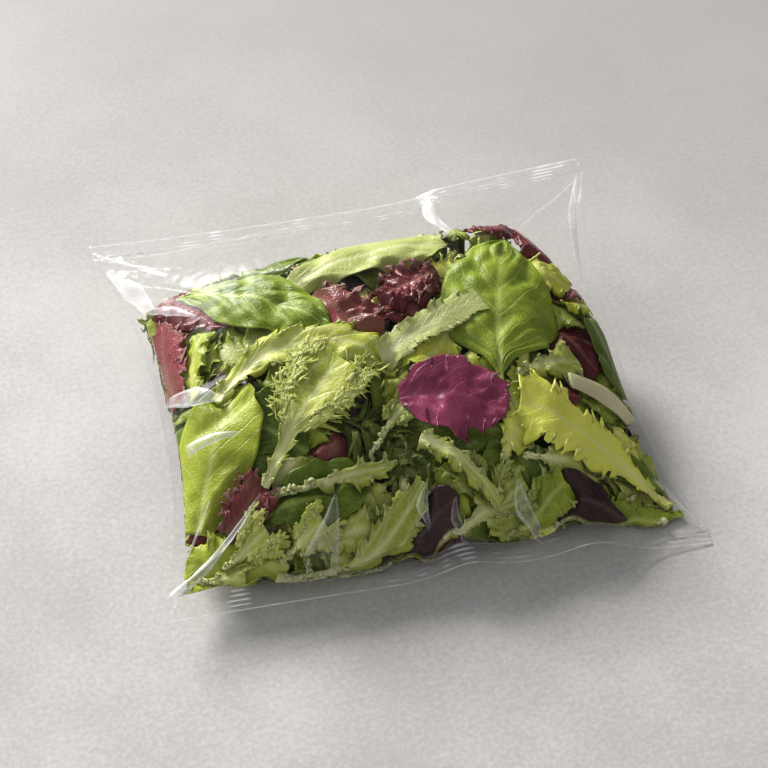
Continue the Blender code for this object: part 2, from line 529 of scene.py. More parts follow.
def margin_angles(s, left, waves, phase):
    """Angles of the margin's waves, uneven along the leaf and different on its two sides: the
    long ones, and the finer frill on them."""
    turn = np.where(left, phase[4], phase[5])
    angle = 2 * math.pi * waves * s + turn + 0.9 * np.sin(5.1 * s + phase[6])
    angle = angle + 0.5 * np.sin(11 * s + phase[7])
    return angle, 2.6 * angle + phase[8] + 0.6 * np.sin(23 * s + phase[9])


def rib_closeness(s, t, half, rib, ribs):
    """1 on a rib and falling off beside it as a bell curve. Side ribs leave the middle one near
    the cut end and are weaker."""
    near = 0
    for place in ribs:
        strength = 1.0 if place == 0 else 0.6
        distance = (t - place * np.minimum(1, 1.6 * s)) * half
        rib_half = rib * strength * (1.15 - 0.9 * s)
        near = np.maximum(near, strength * np.exp(-((distance / rib_half) ** 2)))
    return near


def blade(length, width, draw, outline, rows, columns, lobes=0, lobe=0.0, teeth=0, tooth=0.0,
          ruffle=0.0, waves=4.0, frill=0.0, cup=0.0, puff=0.0, veins=6, rib=1.2 * MM,
          thick=0.35 * MM, irregular=0.10, crumple=1.0 * MM, ribs=(0.0,), detail=1.0):
    """Sheet of one leaf, lying along x from 0 to its length, with its own height over it.

    Half width is the outline times a slow random factor for each margin, cut by lobes and by
    finer teeth that both fade inwards. Height is a cup, the margin's waves, the puffs between
    the veins and a slow crumple, added up."""
    rows = max(12, int(rows * detail))
    columns = max(9, int(columns * detail) // 2 * 2 + 1)
    s = np.linspace(0, 1, rows)[:, None]
    t = np.linspace(-1, 1, columns)[None, :]
    t = np.sign(t) * np.abs(t) ** 0.85
    edge = np.abs(t)
    phase = draw.uniform(0, 2 * math.pi, 12)
    left = t < 0
    full = profile(outline, s)
    slow = np.sin(7 * s + phase[0]) * 0.6 + np.sin(15 * s + phase[1]) * 0.4
    other = np.sin(8 * s + phase[2]) * 0.6 + np.sin(13 * s + phase[3]) * 0.4
    half = width / 2 * full * (1 + irregular * np.where(left, slow, other))
    along = length * s + 0 * t
    if lobes:
        big = np.where(left, saw(s, lobes, draw), saw(s, lobes * 0.9, draw))
        half = half * (1 - lobe * edge**1.6 * (1 - big))
        along = along + length / lobes * 0.45 * edge**2 * (big - 0.4) * full
    if teeth:
        fine = np.where(left, saw(s, teeth, draw), saw(s, teeth * 0.94, draw))
        half = half * (1 - tooth * edge**5 * (1 - fine))
        along = along + length / teeth * 0.5 * edge**6 * (fine - 0.3)
    across = t * half
    angle, fine_angle = margin_angles(s, left, waves, phase)
    waving = ruffle * edge**2.2 * np.minimum(1, full * 2.2)
    frilling = frill * edge**4
    height = waving * np.sin(angle) + frilling * np.sin(fine_angle) + cup * half * edge**1.8
    along = along + 0.5 * waving * np.cos(angle) + 0.8 * frilling * np.cos(fine_angle)
    across = across - np.sign(t) * 0.5 * waving * (0.5 + 0.5 * np.cos(2 * angle))
    between = ((s - edge * 0.35) * veins + 0.5) % 1
    puffs = (1 - (2 * np.abs(between - 0.5)) ** 2.2) * np.minimum(1, 6 * edge) * (1 - edge**3)
    patchy = 0.6 + 0.4 * np.sin(29 * s + 7 * t + phase[10])
    height = height + puff * puffs * patchy * np.minimum(1, full * 3)
    seed = int(phase[11] * 1000)
    slow_waves = waves_of(along, across, 30 * MM, seed, 5)
    quick_waves = waves_of(along, across, 11 * MM, seed + 1, 5)
    height = height + crumple * (slow_waves + 0.35 * quick_waves * np.minimum(1, 3 * edge))
    near = rib_closeness(s, t, half, rib, ribs)
    height = height - 0.25 * rib * near * (1 - s)
    thickness = thick + 0.9 * rib * near * (1 - s) ** 0.8 + 0 * across
    number = draw.uniform()
    marks = np.stack(np.broadcast_arrays(s, t, near * (1 - 0.55 * s), number), -1)
    return {"x": along[None], "y": across[None], "h": height[None], "thick": thickness[None],
            "marks": marks[None]}


outlines = {
    "oval": ((0, 0.10), (0.12, 0.42), (0.35, 0.92), (0.55, 1.0), (0.78, 0.78), (0.92, 0.42),
             (1, 0.03)),
    "baby": ((0, 0.05), (0.16, 0.055), (0.23, 0.22), (0.36, 0.86), (0.52, 1.0), (0.72, 0.90),
             (0.90, 0.55), (1, 0.05)),
    "spoon": ((0, 0.12), (0.25, 0.22), (0.5, 0.62), (0.75, 1.0), (0.9, 0.85), (1, 0.25)),
    "long": ((0, 0.25), (0.2, 0.5), (0.5, 0.9), (0.75, 1.0), (0.92, 0.6), (1, 0.05)),
    "fan": ((0, 0.14), (0.2, 0.25), (0.5, 0.72), (0.8, 1.0), (0.94, 0.9), (1, 0.45)),
    "cut": ((0, 0.8), (0.1, 0.9), (0.5, 1.0), (0.9, 0.85), (1, 0.8)),
    "square": ((0, 0.65), (0.25, 0.95), (0.6, 1.0), (0.97, 0.75), (1, 0.72)),
    "broad": ((0, 0.35), (0.2, 0.75), (0.5, 1.0), (0.8, 0.9), (0.95, 0.5), (1, 0.2)),
    "frisee": ((0, 0.12), (0.3, 0.22), (0.6, 0.55), (0.85, 1.0), (1, 0.55)),
    "stem": ((0, 0.85), (0.5, 1.0), (1, 0.8)),
}

# What sets one kind of blade off from another. Spinach is puffed, endive has three ribs and deep
# teeth, and the red frilly lettuce ruffles the most.
blades = {
    "spinach": {"rows": 76, "columns": 37, "puff": 3.0 * MM, "veins": 6, "rib": 1.4 * MM,
                "cup": -0.12, "ruffle": 1.4 * MM, "waves": 2.0, "irregular": 0.05,
                "thick": 0.4 * MM, "crumple": 0.9 * MM},
    "smooth": {"rows": 52, "columns": 25, "puff": 0.7 * MM, "veins": 8, "rib": 1.4 * MM,
               "cup": 0.12, "ruffle": 1.8 * MM, "waves": 2.2, "irregular": 0.07,
               "crumple": 1.2 * MM},
    "lettuce": {"rows": 120, "columns": 27, "lobes": 7, "lobe": 0.30, "teeth": 31, "tooth": 0.16,
                "ruffle": 3.8 * MM, "waves": 4.6, "frill": 1.4 * MM, "cup": 0.08,
                "rib": 1.8 * MM, "irregular": 0.16, "puff": 0.9 * MM, "veins": 7,
                "crumple": 1.4 * MM},
    "endive": {"rows": 124, "columns": 27, "lobes": 11, "lobe": 0.42, "teeth": 37, "tooth": 0.28,
               "ruffle": 3.8 * MM, "waves": 4.6, "frill": 1.8 * MM, "cup": 0.10,
               "rib": 2.2 * MM, "ribs": (0.0, -0.42, 0.42), "irregular": 0.20,
               "puff": 0.6 * MM, "veins": 7, "crumple": 1.4 * MM},
    "lollo": {"rows": 110, "columns": 33, "lobes": 6, "lobe": 0.25, "teeth": 29, "tooth": 0.12,
              "ruffle": 5.0 * MM, "waves": 5.5, "frill": 2.4 * MM, "cup": 0.15, "rib": 1.3 * MM,
              "irregular": 0.16, "puff": 1.6 * MM, "veins": 8, "crumple": 2.2 * MM},
    "radicchio": {"rows": 64, "columns": 31, "ruffle": 2.2 * MM, "waves": 2.4, "cup": 0.10,
                  "rib": 1.3 * MM, "irregular": 0.14, "puff": 1.3 * MM, "veins": 6, "lobes": 5,
                  "lobe": 0.12, "teeth": 17, "tooth": 0.05, "crumple": 1.9 * MM},
    "strip": {"rows": 100, "columns": 27, "lobes": 7, "lobe": 0.13, "teeth": 23, "tooth": 0.14,
              "ruffle": 1.8 * MM, "waves": 3.0, "frill": 0.7 * MM, "rib": 2.2 * MM,
              "irregular": 0.12, "cup": 0.15, "ribs": (0.0, -0.5, 0.5), "crumple": 0.9 * MM},
    "stem": {"rows": 30, "columns": 13, "irregular": 0.04, "rib": 0.4 * MM, "cup": -0.25,
             "crumple": 0.2 * MM},
    "frisee": {"rib": 1.9 * MM, "ribs": (0.0, -0.33, 0.33, -0.68, 0.68), "cup": 0.10,
               "ruffle": 2.4 * MM, "waves": 3.4, "lobes": 9, "lobe": 0.42, "teeth": 27,
               "tooth": 0.30, "crumple": 1.2 * MM, "frill": 1.2 * MM},
}


def cut_stem(length, width, draw):
    """A thick cut rib: nearly even width, thick in the middle and thin at both margins, as the
    root of 1 - t^2."""
    made = blade(length, width, draw, outlines["stem"], **blades["stem"])
    edge = np.abs(made["marks"][..., 1])
    made["thick"] = 0.5 * MM + 2.2 * MM * np.sqrt(np.maximum(0, 1 - edge**2))
    return made


# %% [markdown]
# Frisee and other cut leaves
#
# These leaves are nearly all margin: a pale rib with thin fronds, which fork into smaller ones
# and curl. A single outline can't do that. Instead every frond is a narrow strip of its own, and
# all of them are worked out at once: each starts at a root on the rib, turns steadily as it
# grows, and carries side fronds that start on it in the same way.

# %% Fronds
def frond_strips(roots, headings, lengths, widths, turns, lifts, heights, draw, rows=8, columns=3,
                 tooth=0.3):
    """Strips that start at roots (n, 2). Each strip's heading turns more and more towards its tip,
    its path is the running sum of its steps, and its toothed half width falls to a point."""
    count = len(roots)
    s = np.linspace(0, 1, rows)[None, :]
    heading = headings[:, None] + turns[:, None] * s**1.3
    step = (lengths / (rows - 1))[:, None]
    x = roots[:, :1] + np.cumsum(np.cos(heading) * step, 1) - np.cos(heading) * step
    y = roots[:, 1:] + np.cumsum(np.sin(heading) * step, 1) - np.sin(heading) * step
    wave = draw.uniform(0, 2 * math.pi, (count, 1))
    height = heights[:, None] + lifts[:, None] * np.sin(1.5 * s)
    height = height + 0.25 * lifts[:, None] * np.sin(6 * s + wave)
    half = widths[:, None] / 2 * (1 - 0.93 * s**2.0)
    t = np.linspace(-1, 1, columns)[None, None, :]
    edge = np.abs(t)
    notch = draw.uniform(0, 1, (count, 1, 1)) + s[..., None] * rows * 0.37 + 0.31 * np.sign(t)
    reach = t * half[..., None] * (1 - tooth * edge**3 * (notch % 1))
    made_x = x[..., None] - np.sin(heading)[..., None] * reach
    made_y = y[..., None] + np.cos(heading)[..., None] * reach
    roll = draw.uniform(-0.9, 0.9, (count, 1, 1))
    made_h = height[..., None] + half[..., None] * (0.45 * edge + roll * t)
    number = draw.uniform(size=(count, 1, 1))
    near = 0.45 * (1 - s[..., None]) * (1 - edge)
    marks = np.stack(np.broadcast_arrays(0.3 + 0.7 * s[..., None], t, near, number), -1)
    return {"x": made_x, "y": made_y, "h": made_h, "thick": 0.30 * MM + 0 * made_x,
            "marks": marks, "heading": heading, "path": np.stack([x, y], -1), "height": height}


def side_fronds(parent, places, share, angle, width, draw, rows=6, columns=3):
    """Smaller strips on both sides of each parent strip, at the given places along it."""
    rows_of_parent = parent["path"].shape[1]
    index = np.clip((np.array(places) * (rows_of_parent - 1)).astype(int), 0, rows_of_parent - 2)
    roots = parent["path"][:, index].reshape(-1, 2)
    heading = parent["heading"][:, index]
    heights = parent["height"][:, index].reshape(-1)
    side = np.where(np.arange(len(places)) % 2 == 0, 1.0, -1.0)[None, :] + 0 * heading
    spread = draw.uniform(0.6, 1.35, heading.shape)
    heading = (heading + side * angle * spread).reshape(-1)
    step = np.linalg.norm(parent["path"][:, 1] - parent["path"][:, 0], axis=-1)
    lengths = step[:, None] * (rows_of_parent - 1) * share * draw.uniform(0.55, 1.45, side.shape)
    lengths = (lengths * (1.2 - 0.6 * np.array(places))[None, :]).reshape(-1)
    turns = draw.uniform(-1.0, 1.0, len(roots)) - 0.4 * side.reshape(-1)
    lifts = draw.uniform(-0.6, 0.9, len(roots)) * lengths * 0.6
    widths = width * draw.uniform(0.7, 1.35, len(roots))
    return frond_strips(roots, heading, lengths, widths, turns, lifts, heights, draw, rows, columns)


def frisee(length, width, draw, form, detail):
    """A pale fan of ribs with a cut margin, fronds from its margins, and smaller ones on them.
    Only the whole head has the smallest fronds."""
    rows, columns = (110, 31) if form == "head" else (80, 23)
    body = blade(length * 0.92, width * 0.80, draw, outlines["frisee"], rows, columns,
                 detail=detail, **blades["frisee"])
    count = int((30 if form == "head" else 22) * (0.5 + 0.5 * detail))
    place = np.sort(draw.uniform(0.42, 1.0, count))
    side = np.where(np.arange(count) % 2 == 0, 1.0, -1.0)
    half = width * 0.40 * profile(outlines["frisee"], place)
    roots = np.stack([place * length * 0.88, side * half * 0.62], -1)
    headings = side * (0.95 - 0.75 * place + draw.uniform(-0.3, 0.35, count))
    lengths = width * draw.uniform(0.14, 0.33, count) * (0.7 + 0.4 * place)
    widths = draw.uniform(2.6, 5.5, count) * MM
    turns = -side * draw.uniform(-0.6, 1.3, count)
    lifts = draw.uniform(-0.2, 0.5, count) * lengths
    level = np.zeros(count)
    rows, columns = (9, 5) if detail == 1 else (7, 3)
    first = frond_strips(roots, headings, lengths, widths, turns, lifts, level, draw, rows,
                         columns, 0.5)
    if detail < 1:
        return [body, first, side_fronds(first, (0.35, 0.65), 0.5, 0.75, 2.3 * MM, draw, 5)]
    second = side_fronds(first, (0.3, 0.45, 0.62, 0.8), 0.45, 0.75, 2.3 * MM, draw, 6)
    if form != "head":
        return [body, first, second]
    return [body, first, second, side_fronds(second, (0.35, 0.7), 0.5, 0.8, 1.1 * MM, draw, 4)]


def feather(length, width, draw, detail):
    """A thin rib with lobes on both sides, each with teeth: mizuna and fine dark frisee."""
    heading = np.array([draw.uniform(-0.15, 0.15)])
    turn = np.array([draw.uniform(-0.4, 0.4)])
    main = frond_strips(np.zeros((1, 2)), heading, np.array([length]), np.array([4.0 * MM]), turn,
                        np.zeros(1), np.zeros(1), draw, 22, 5, 0.4)
    places = np.linspace(0.18, 0.96, 15 if detail == 1 else 11)
    first = side_fronds(main, places, 0.55 * width / length, 0.85, 4.2 * MM, draw, 8, 5)
    second = side_fronds(first, (0.3, 0.5, 0.7, 0.88), 0.42, 0.8, 2.1 * MM, draw, 5)
    return [main, first, second]


kinds = {
    # kind: (name of its piece, its material, its shape)
    "spinach": ("spinach_leaves", "spinach", "spinach"),
    "smooth": ("smooth_green_leaves", "smooth", "smooth"),
    "pale": ("pale_leaves", "pale", "smooth"),
    "lettuce": ("green_lettuce", "lettuce", "lettuce"),
    "yellow": ("yellow_green_frills", "yellow", "endive"),
    "frisee": ("frisee", "frisee", "frisee"),
    "endive": ("curly_endive", "frisee", "endive"),
    "mizuna": ("fine_dark_fronds", "mizuna", "feather"),
    "lollo": ("red_frilly_lettuce", "lollo", "lollo"),
    "red": ("red_leaves", "red", "radicchio"),
    "radicchio": ("purple_leaves", "radicchio", "radicchio"),
    "shade_red": ("red_leaves_painted_shade", "shade_red", "smooth"),
    "stem": ("cut_stem", "stem", "stem"),
    "strip": ("cut_pale_strip", "pale", "strip"),
    "broadleaf": ("broad_yellow_green_leaf", "lettuce", "smooth"),
    "frisee_end": ("small_frisee_ends", "frisee", "frisee"),
}


def leaf_sheets(kind, length, width, draw, form, detail):
    """The sheets of one leaf: fronds for the cut kinds, and a single blade for the others."""
    shape = kinds[kind][2]
    if shape == "frisee":
        return frisee(length, width, draw, form, detail)
    if shape == "feather":
        return feather(length, width, draw, detail)
    if shape == "stem":
        return [cut_stem(length, width, draw)]
    return [blade(length, width, draw, outlines[form], detail=detail, **blades[shape])]


# %% [markdown]
# Laying the leaves
#
# The leaves were tossed in, and the film presses the top ones flat. The heap is laid from the
# top down. A map holds the free height under the film for every millimetre of the bag. A leaf
# aims for its own depth under the top of the heap, is held down where the map is lower than
# that, and then lowers the map under it. So leaves hardly cut through each other, and the gaps
# between the top leaves look down into the heap. Dropping them by a rigid body simulation would
# take minutes, and it wouldn't bend them.

# %% The map of free height
CELL = 1.0 * MM
FILM_GAP = 0.9 * MM             # between the upper film and the highest leaf
LEAF_GAP = 0.35 * MM            # between two leaves
FLOOR_GAP = 0.35 * MM           # between the lower film and the lowest leaf
LEAST_GAP = 0.2 * MM            # between a leaf and those laid on the lower film before it
LOWER_GAP = 0.5 * MM            # between a leaf laid from below and the ones above it
SOFTNESS = 0.5 * MM             # of the change from a leaf's own height to being held down
MAP_REACH = 2                   # cells over which a leaf reads the lowest height, and its mean
SIDE_LIMIT = 0.955              # shares of the bag that leaves keep within
FRONT_LIMIT = -0.985
UNEVEN = 0.035                  # share by which the heap's front and back come and go
BACK_DROP = 32 * MM             # the heap falls away from the film towards the back seal
map_x = np.arange(-WIDTH / 2, WIDTH / 2 + CELL, CELL)
map_y = np.arange(-LENGTH / 2, LENGTH / 2 + CELL, CELL)
grid_across, grid_along = shares(*np.meshgrid(map_x, map_y))
grid_across = np.clip(grid_across, -1, 1)
grid_along = np.clip(grid_along, -1, 1)


def back_limit(across):
    """How far back the leaves reach: less at both sides, and least at the right."""
    return 0.80 - 1.15 * np.maximum(0, across - 0.45) - 0.45 * np.maximum(0, -across - 0.60)


def heap_surface(across, along):
    """Top of the heap: just under the film, and lower towards the back and the back right
    corner, where the bag is empty."""
    past = along - 0.50 + 1.75 * np.maximum(0, across - 0.66)
    return roof(across, along) - FILM_GAP - BACK_DROP * smooth(-0.04, 0.50, past)


free_height = heap_surface(grid_across, grid_along)
free_floor = ground(grid_across, grid_along) + FILM_GAP


def spread_low(values, reach):
    """Lowest value within a square reach, by comparing shifted copies."""
    for axis in (0, 1):
        best = values
        for shift in range(1, reach + 1):
            best = np.minimum(best, np.roll(values, shift, axis))
            best = np.minimum(best, np.roll(values, -shift, axis))
        values = best
    return values


def blurred(values, reach):
    """Mean over a square reach, by adding shifted copies."""
    for axis in (0, 1):
        total = values
        for shift in range(1, reach + 1):
            total = total + np.roll(values, shift, axis) + np.roll(values, -shift, axis)
        values = total / (2 * reach + 1)
    return values


def read_map(values, x, y):
    """Value of a map at places in metres, blended between its four nearest cells."""
    column = np.clip((x - map_x[0]) / CELL, 0, len(map_x) - 1.001)
    row = np.clip((y - map_y[0]) / CELL, 0, len(map_y) - 1.001)
    i, j = row.astype(int), column.astype(int)
    a, b = row - i, column - j
    near = values[i, j] * (1 - b) + values[i, j + 1] * b
    far = values[i + 1, j] * (1 - b) + values[i + 1, j + 1] * b
    return near * (1 - a) + far * a


def soft_room(gap):
    """A gap that is never negative: close to the gap itself where it is wide."""
    return (gap + np.sqrt(gap * gap + SOFTNESS * SOFTNESS)) / 2


def along_rib(sheet, start, end, bow):
    """Places in metres of a sheet's points, for a rib that runs from one place to the other and
    bows sideways as a parabola, and each point's share of the way."""
    x0, y0, span, ux, uy = straight(start, end)
    s = sheet["x"] / span
    bend = 4 * bow * s * (1 - s)
    slope = 4 * bow * (1 - 2 * s)
    size = np.sqrt(1 + slope * slope)
    nx, ny = (-uy - slope * ux) / size, (ux - slope * uy) / size
    x = x0 + span * (ux * s - uy * bend) + nx * sheet["y"]
    y = y0 + span * (uy * s + ux * bend) + ny * sheet["y"]
    return x, y, np.clip(s, 0, 1)


def kept_inside(x, y, short):
    """Shares of places, moved back between the sides, the front seal and the heap's uneven back,
    less a share that the leaf stops short of it, and how far in metres each turns down there."""
    across, along = shares(x, y)
    half_width, half_length = half_spans(across, along)
    over = np.maximum(np.abs(across) - SIDE_LIMIT, 0) * half_width
    across = np.clip(across, -SIDE_LIMIT, SIDE_LIMIT)
    uneven = UNEVEN * (0.5 + 0.5 * np.sin(150 * x + 2 * np.sin(67 * x)))
    inside = np.clip(along, FRONT_LIMIT + uneven, back_limit(across) - 2 * uneven - short)
    over = over + np.abs(along - inside) * half_length * 0.6
    return across, inside, over * 1.1


def depth_at(depth, s):
    """Depth in metres: a parabola through the millimetres at the cut end, middle and tip."""
    first, middle, last = depth
    return (first * (1 - s) * (1 - 2 * s) + middle * 4 * s * (1 - s) + last * s * (2 * s - 1)) * MM


def lay(sheets, start, end, bow, depth, tone, short=0.0, below=False):
    """Puts a leaf's sheets in the bag and returns their shells.

    A leaf's height is the heap's surface less its depth, plus its own shape, kept between the
    leaves above and the film below. What would stick out past the side turns down along it. A
    leaf from below is laid on the lower film and what is there already."""
    if below:
        base_map = blurred(-spread_low(-free_floor, MAP_REACH), MAP_REACH)
    else:
        base_map = blurred(spread_low(free_height, MAP_REACH), MAP_REACH)
    made = []
    for sheet in sheets:
        x, y, s = along_rib(sheet, start, end, bow)
        down = depth_at(depth, s) - sheet["h"]
        across, along, over = kept_inside(x, y, short)
        x, y = plan(across, along)
        room = read_map(base_map, x, y)
        if below:
            z = np.minimum(room + soft_room(down), read_map(free_height, x, y) - LOWER_GAP)
        else:
            aim = heap_surface(across, along) - down - over
            z = room - soft_room(room - aim)
            z = np.maximum(z, read_map(free_floor, x, y) + LEAST_GAP)
        under = ground(across, along) + FLOOR_GAP
        z = np.maximum(z, under + sheet["thick"])
        points = np.stack(np.broadcast_arrays(x, y, z), -1)
        back = points - surface_normals(points) * sheet["thick"][..., None]
        back[..., 2] = np.maximum(back[..., 2], under)
        made.append(shell(points, back, sheet["marks"], tone))
        column = np.clip(np.round((x - map_x[0]) / CELL).astype(int), 0, len(map_x) - 1)
        row = np.clip(np.round((y - map_y[0]) / CELL).astype(int), 0, len(map_y) - 1)
        if below:
            np.maximum.at(free_floor, (row, column), z + LEAF_GAP)
        else:
            np.minimum.at(free_height, (row, column), z - sheet["thick"] - LEAF_GAP)
    return made


print("map of", free_height.shape, "cells")

# %% [markdown]
# The layout
#
# The top leaves are listed one by one, so that the bag has the mix and the rhythm of a real one: a
# big spinach leaf at the back right, a pale frisee fan left of the middle, a purple leaf in the
# middle, dark red frills behind, and yellow-green frills at the right. Each row gives the kind,
# the cut end and the tip as shares of the bag, the width in millimetres, the sideways bow, the
# depths in millimetres at the cut end, middle and tip, and the tone from dark to light.

# %% Top leaves
top_leaves = (
    ("frisee", (-0.63, -0.64), (-0.20, -0.12), 68, 0.04, (3, 2, 2), 0.75, "head", 11),
    ("strip", (-0.07, -0.19), (0.41, 0.04), 21, 0.02, (2, 1.2, 1), 0.85, "square", 12),
    ("radicchio", (-0.04, -0.39), (0.38, -0.53), 44, 0.06, (2.5, 1.5, 2), 0.5, "broad", 13),
    ("yellow", (0.93, -0.88), (0.44, -0.50), 52, -0.05, (2.5, 2, 2), 1.0, "fan", 14),
    ("spinach", (0.37, -0.50), (0.60, 0.42), 58, 0.03, (4, 1.8, 3), 0.45, "baby", 15),
    ("endive", (-0.78, -0.18), (-0.02, -0.25), 31, 0.25, (2, 2, 3), 0.85, "broad", 16),
    ("spinach", (-0.80, 0.52), (-0.24, 0.02), 36, 0.05, (2.5, 1.8, 3), 0.35, "oval", 17),
    ("stem", (0.70, -0.37), (0.93, -0.50), 10, 0.12, (1.5, 1.2, 1.5), 0.6, "", 18),
    ("frisee_end", (-0.80, -0.90), (-0.62, -0.80), 32, 0.0, (2.2, 2, 2), 0.75, "side", 61),
    ("frisee_end", (-0.90, -0.92), (-0.70, -0.97), 26, 0.0, (2.2, 2, 2), 0.85, "side", 62),
    ("frisee_end", (-0.58, -0.92), (-0.40, -0.82), 28, 0.0, (2.6, 2.2, 2), 0.9, "side", 63),
    ("yellow", (0.58, 0.34), (0.84, 0.16), 30, 0.0, (4, 3.5, 4), 0.5, "fan", 64),
    ("endive", (-0.60, -0.99), (-0.02, -0.77), 26, -0.14, (3, 3, 3), 0.50, "spoon", 19),
    ("lollo", (-0.79, -0.76), (-0.63, -0.60), 28, 0.0, (3, 2, 2), 0.6, "broad", 20),
    ("endive", (-0.62, -0.65), (-0.10, -0.64), 15, -0.06, (3.5, 3, 3), 0.55, "spoon", 48),
    ("lettuce", (-0.56, -0.92), (-0.95, -0.84), 46, 0.05, (4, 3, 2.5), 0.80, "fan", 21),
    ("smooth", (-0.66, -0.72), (-0.20, -0.68), 30, -0.03, (5, 4, 4), 0.35, "oval", 22),
    ("broadleaf", (-0.90, -0.72), (-0.66, -0.12), 42, 0.04, (2.5, 2, 3), 0.75, "broad", 23),
    ("lollo", (-0.93, -0.08), (-0.90, 0.40), 30, 0.05, (2, 1.5, 2), 0.65, "broad", 24),
    ("red", (-0.62, 0.26), (-0.86, 0.58), 30, 0.05, (4, 2, 2), 0.75, "broad", 25),
    ("lettuce", (-0.86, -0.10), (-0.72, 0.28), 18, 0.10, (2.5, 2.5, 3), 0.75, "cut", 26),
    ("lollo", (-0.28, 0.27), (-0.08, -0.08), 40, 0.0, (3, 2, 2), 0.80, "broad", 27),
    ("lollo", (0.26, 0.24), (-0.02, 0.12), 32, 0.0, (3, 2.5, 2.5), 0.45, "broad", 28),
    ("pale", (-0.46, 0.28), (0.34, 0.40), 32, 0.10, (3, 2, 3), 0.55, "long", 29),
    ("smooth", (-0.24, 0.56), (-0.60, 0.48), 18, 0.05, (3, 2.5, 3), 0.35, "oval", 30),
    ("lettuce", (-0.46, 0.66), (-0.80, 0.58), 24, 0.0, (3, 2, 2), 0.5, "fan", 31),
    ("yellow", (0.30, -0.02), (0.08, -0.28), 42, 0.0, (6, 4, 3), 0.4, "fan", 32),
    ("red", (0.66, 0.50), (0.85, 0.10), 28, 0.04, (2.5, 2, 2.5), 0.5, "broad", 33),
    ("red", (0.44, 0.56), (0.72, 0.46), 18, 0.0, (3, 2.5, 3), 0.45, "oval", 34),
    ("yellow", (0.62, 0.26), (0.92, 0.08), 26, 0.0, (5, 3, 3), 0.45, "fan", 35),
    ("smooth", (0.85, 0.12), (0.95, -0.38), 17, 0.05, (2.5, 2, 2), 0.15, "long", 36),
    ("endive", (0.48, -0.34), (0.78, -0.24), 28, 0.0, (6, 4, 4), 0.75, "fan", 37),
    ("red", (0.74, -0.36), (0.46, -0.50), 20, 0.05, (4, 3, 3), 0.45, "broad", 38),
    ("endive", (0.58, 0.34), (0.86, -0.04), 40, 0.0, (5, 5, 6), 0.35, "broad", 65),
    ("lollo", (0.58, 0.16), (0.86, -0.26), 44, 0.0, (8, 8, 8), 0.25, "broad", 66),
    ("lettuce", (0.50, 0.40), (0.80, 0.10), 46, 0.0, (10, 10, 10), 0.3, "broad", 67),
    ("smooth", (0.96, -0.78), (0.64, -0.56), 20, 0.05, (3.5, 3, 5), 0.75, "long", 39),
    ("endive", (0.00, -0.60), (0.25, -0.88), 15, 0.05, (3, 2.5, 3), 0.75, "cut", 40),
    ("frisee", (-0.20, -0.60), (0.08, -0.36), 24, 0.05, (4, 3, 2), 0.35, "side", 41),
    ("mizuna", (-0.30, -0.40), (-0.10, -0.72), 34, 0.1, (7, 6, 6), 0.35, "", 42),
    ("mizuna", (-0.44, -0.30), (-0.02, -0.46), 30, -0.1, (8, 7, 6), 0.3, "", 49),
    ("shade_red", (-0.22, -1.0), (0.10, -0.86), 28, 0.0, (4, 3, 4), 0.45, "oval", 43),
    ("frisee", (0.02, -1.0), (0.40, -0.80), 30, 0.0, (4, 3.5, 4), 0.35, "side", 44),
    ("lettuce", (0.26, -1.0), (0.52, -0.84), 30, 0.0, (4, 3, 4), 0.5, "fan", 50),
    ("shade_red", (0.72, -0.96), (0.42, -0.85), 24, 0.0, (4, 4, 5), 0.40, "oval", 45),
    ("lettuce", (0.58, -0.94), (0.94, -0.97), 24, 0.0, (3, 2.5, 2.5), 0.45, "cut", 46),
    # painted shade: this deep smooth leaf gets the darkest tone, a dark patch where the heap is in
    # shade
    ("smooth", (-0.44, -0.50), (-0.76, -0.20), 34, 0.0, (9, 8, 8), 0.1, "oval", 47),
)

laid = {kind: [] for kind in kinds}


def lay_leaf(kind, start, end, width, bow, depth, tone, form, seed, detail=1.0, **how):
    """Makes one leaf of its kind, as long as the way it lies, and puts it in the bag."""
    span = straight(start, end)[2]
    own_draw = np.random.default_rng(seed)
    sheets = leaf_sheets(kind, span, width * MM, own_draw, form, detail)
    laid[kind].extend(lay(sheets, start, end, bow, depth, tone, **how))


for row in top_leaves:
    lay_leaf(*row)
print(len(top_leaves), "top leaves")

# %% [markdown]
# Small frills between the top leaves
#
# Most of the mix is curly, and its broken tips work their way up between the large leaves. They
# are short cut ends of the same frilly kinds, strewn over the top just under the large leaves,
# and closer together along the front, where the film presses them into the seal.

# %% Small frills
SMALL_FRILLS = 46
SMALL_DETAIL = 0.5
SHORTEST_FRILL = 40 * MM        # measured over the whole of the bag, seals included


def half_way(heading, reach):
    """Shares of the bag from a leaf's middle to its tip, for a heading and a reach in metres."""
    return math.cos(heading) * reach / (WIDTH / 2), math.sin(heading) * reach / (LENGTH / 2)


def distance(start, end):
    """Rough length in metres between two places given as shares."""
    return math.hypot((end[0] - start[0]) * WIDTH, (end[1] - start[1]) * LENGTH)


strew = np.random.default_rng(31)
for number in range(SMALL_FRILLS):
    in_front = number % 2 == 0
    place = (strew.uniform(-0.88, 0.92), strew.uniform(-0.97, -0.70) if in_front
             else strew.uniform(-0.70, 0.30))
    heading = strew.uniform(0, 2 * math.pi)
    step_x, step_y = half_way(heading, strew.uniform(12, 19) * MM)
    start = (np.clip(place[0] - step_x, -0.96, 0.98), max(place[1] - step_y, -0.99))
    end = (np.clip(place[0] + step_x, -0.96, 0.98), max(place[1] + step_y, -0.99))
    kind = ("frisee_end", "lettuce", "endive", "yellow", "frisee_end", "endive")[number % 6]
    form = "side" if kind == "frisee_end" else "fan"
    deep = strew.uniform(2.0, 4.0)
    if distance(start, end) > SHORTEST_FRILL:
        lay_leaf(kind, start, end, strew.uniform(22, 32), strew.uniform(-0.1, 0.1),
                 (deep, deep, deep), strew.uniform(0.3, 0.85), form, 500 + number, SMALL_DETAIL)

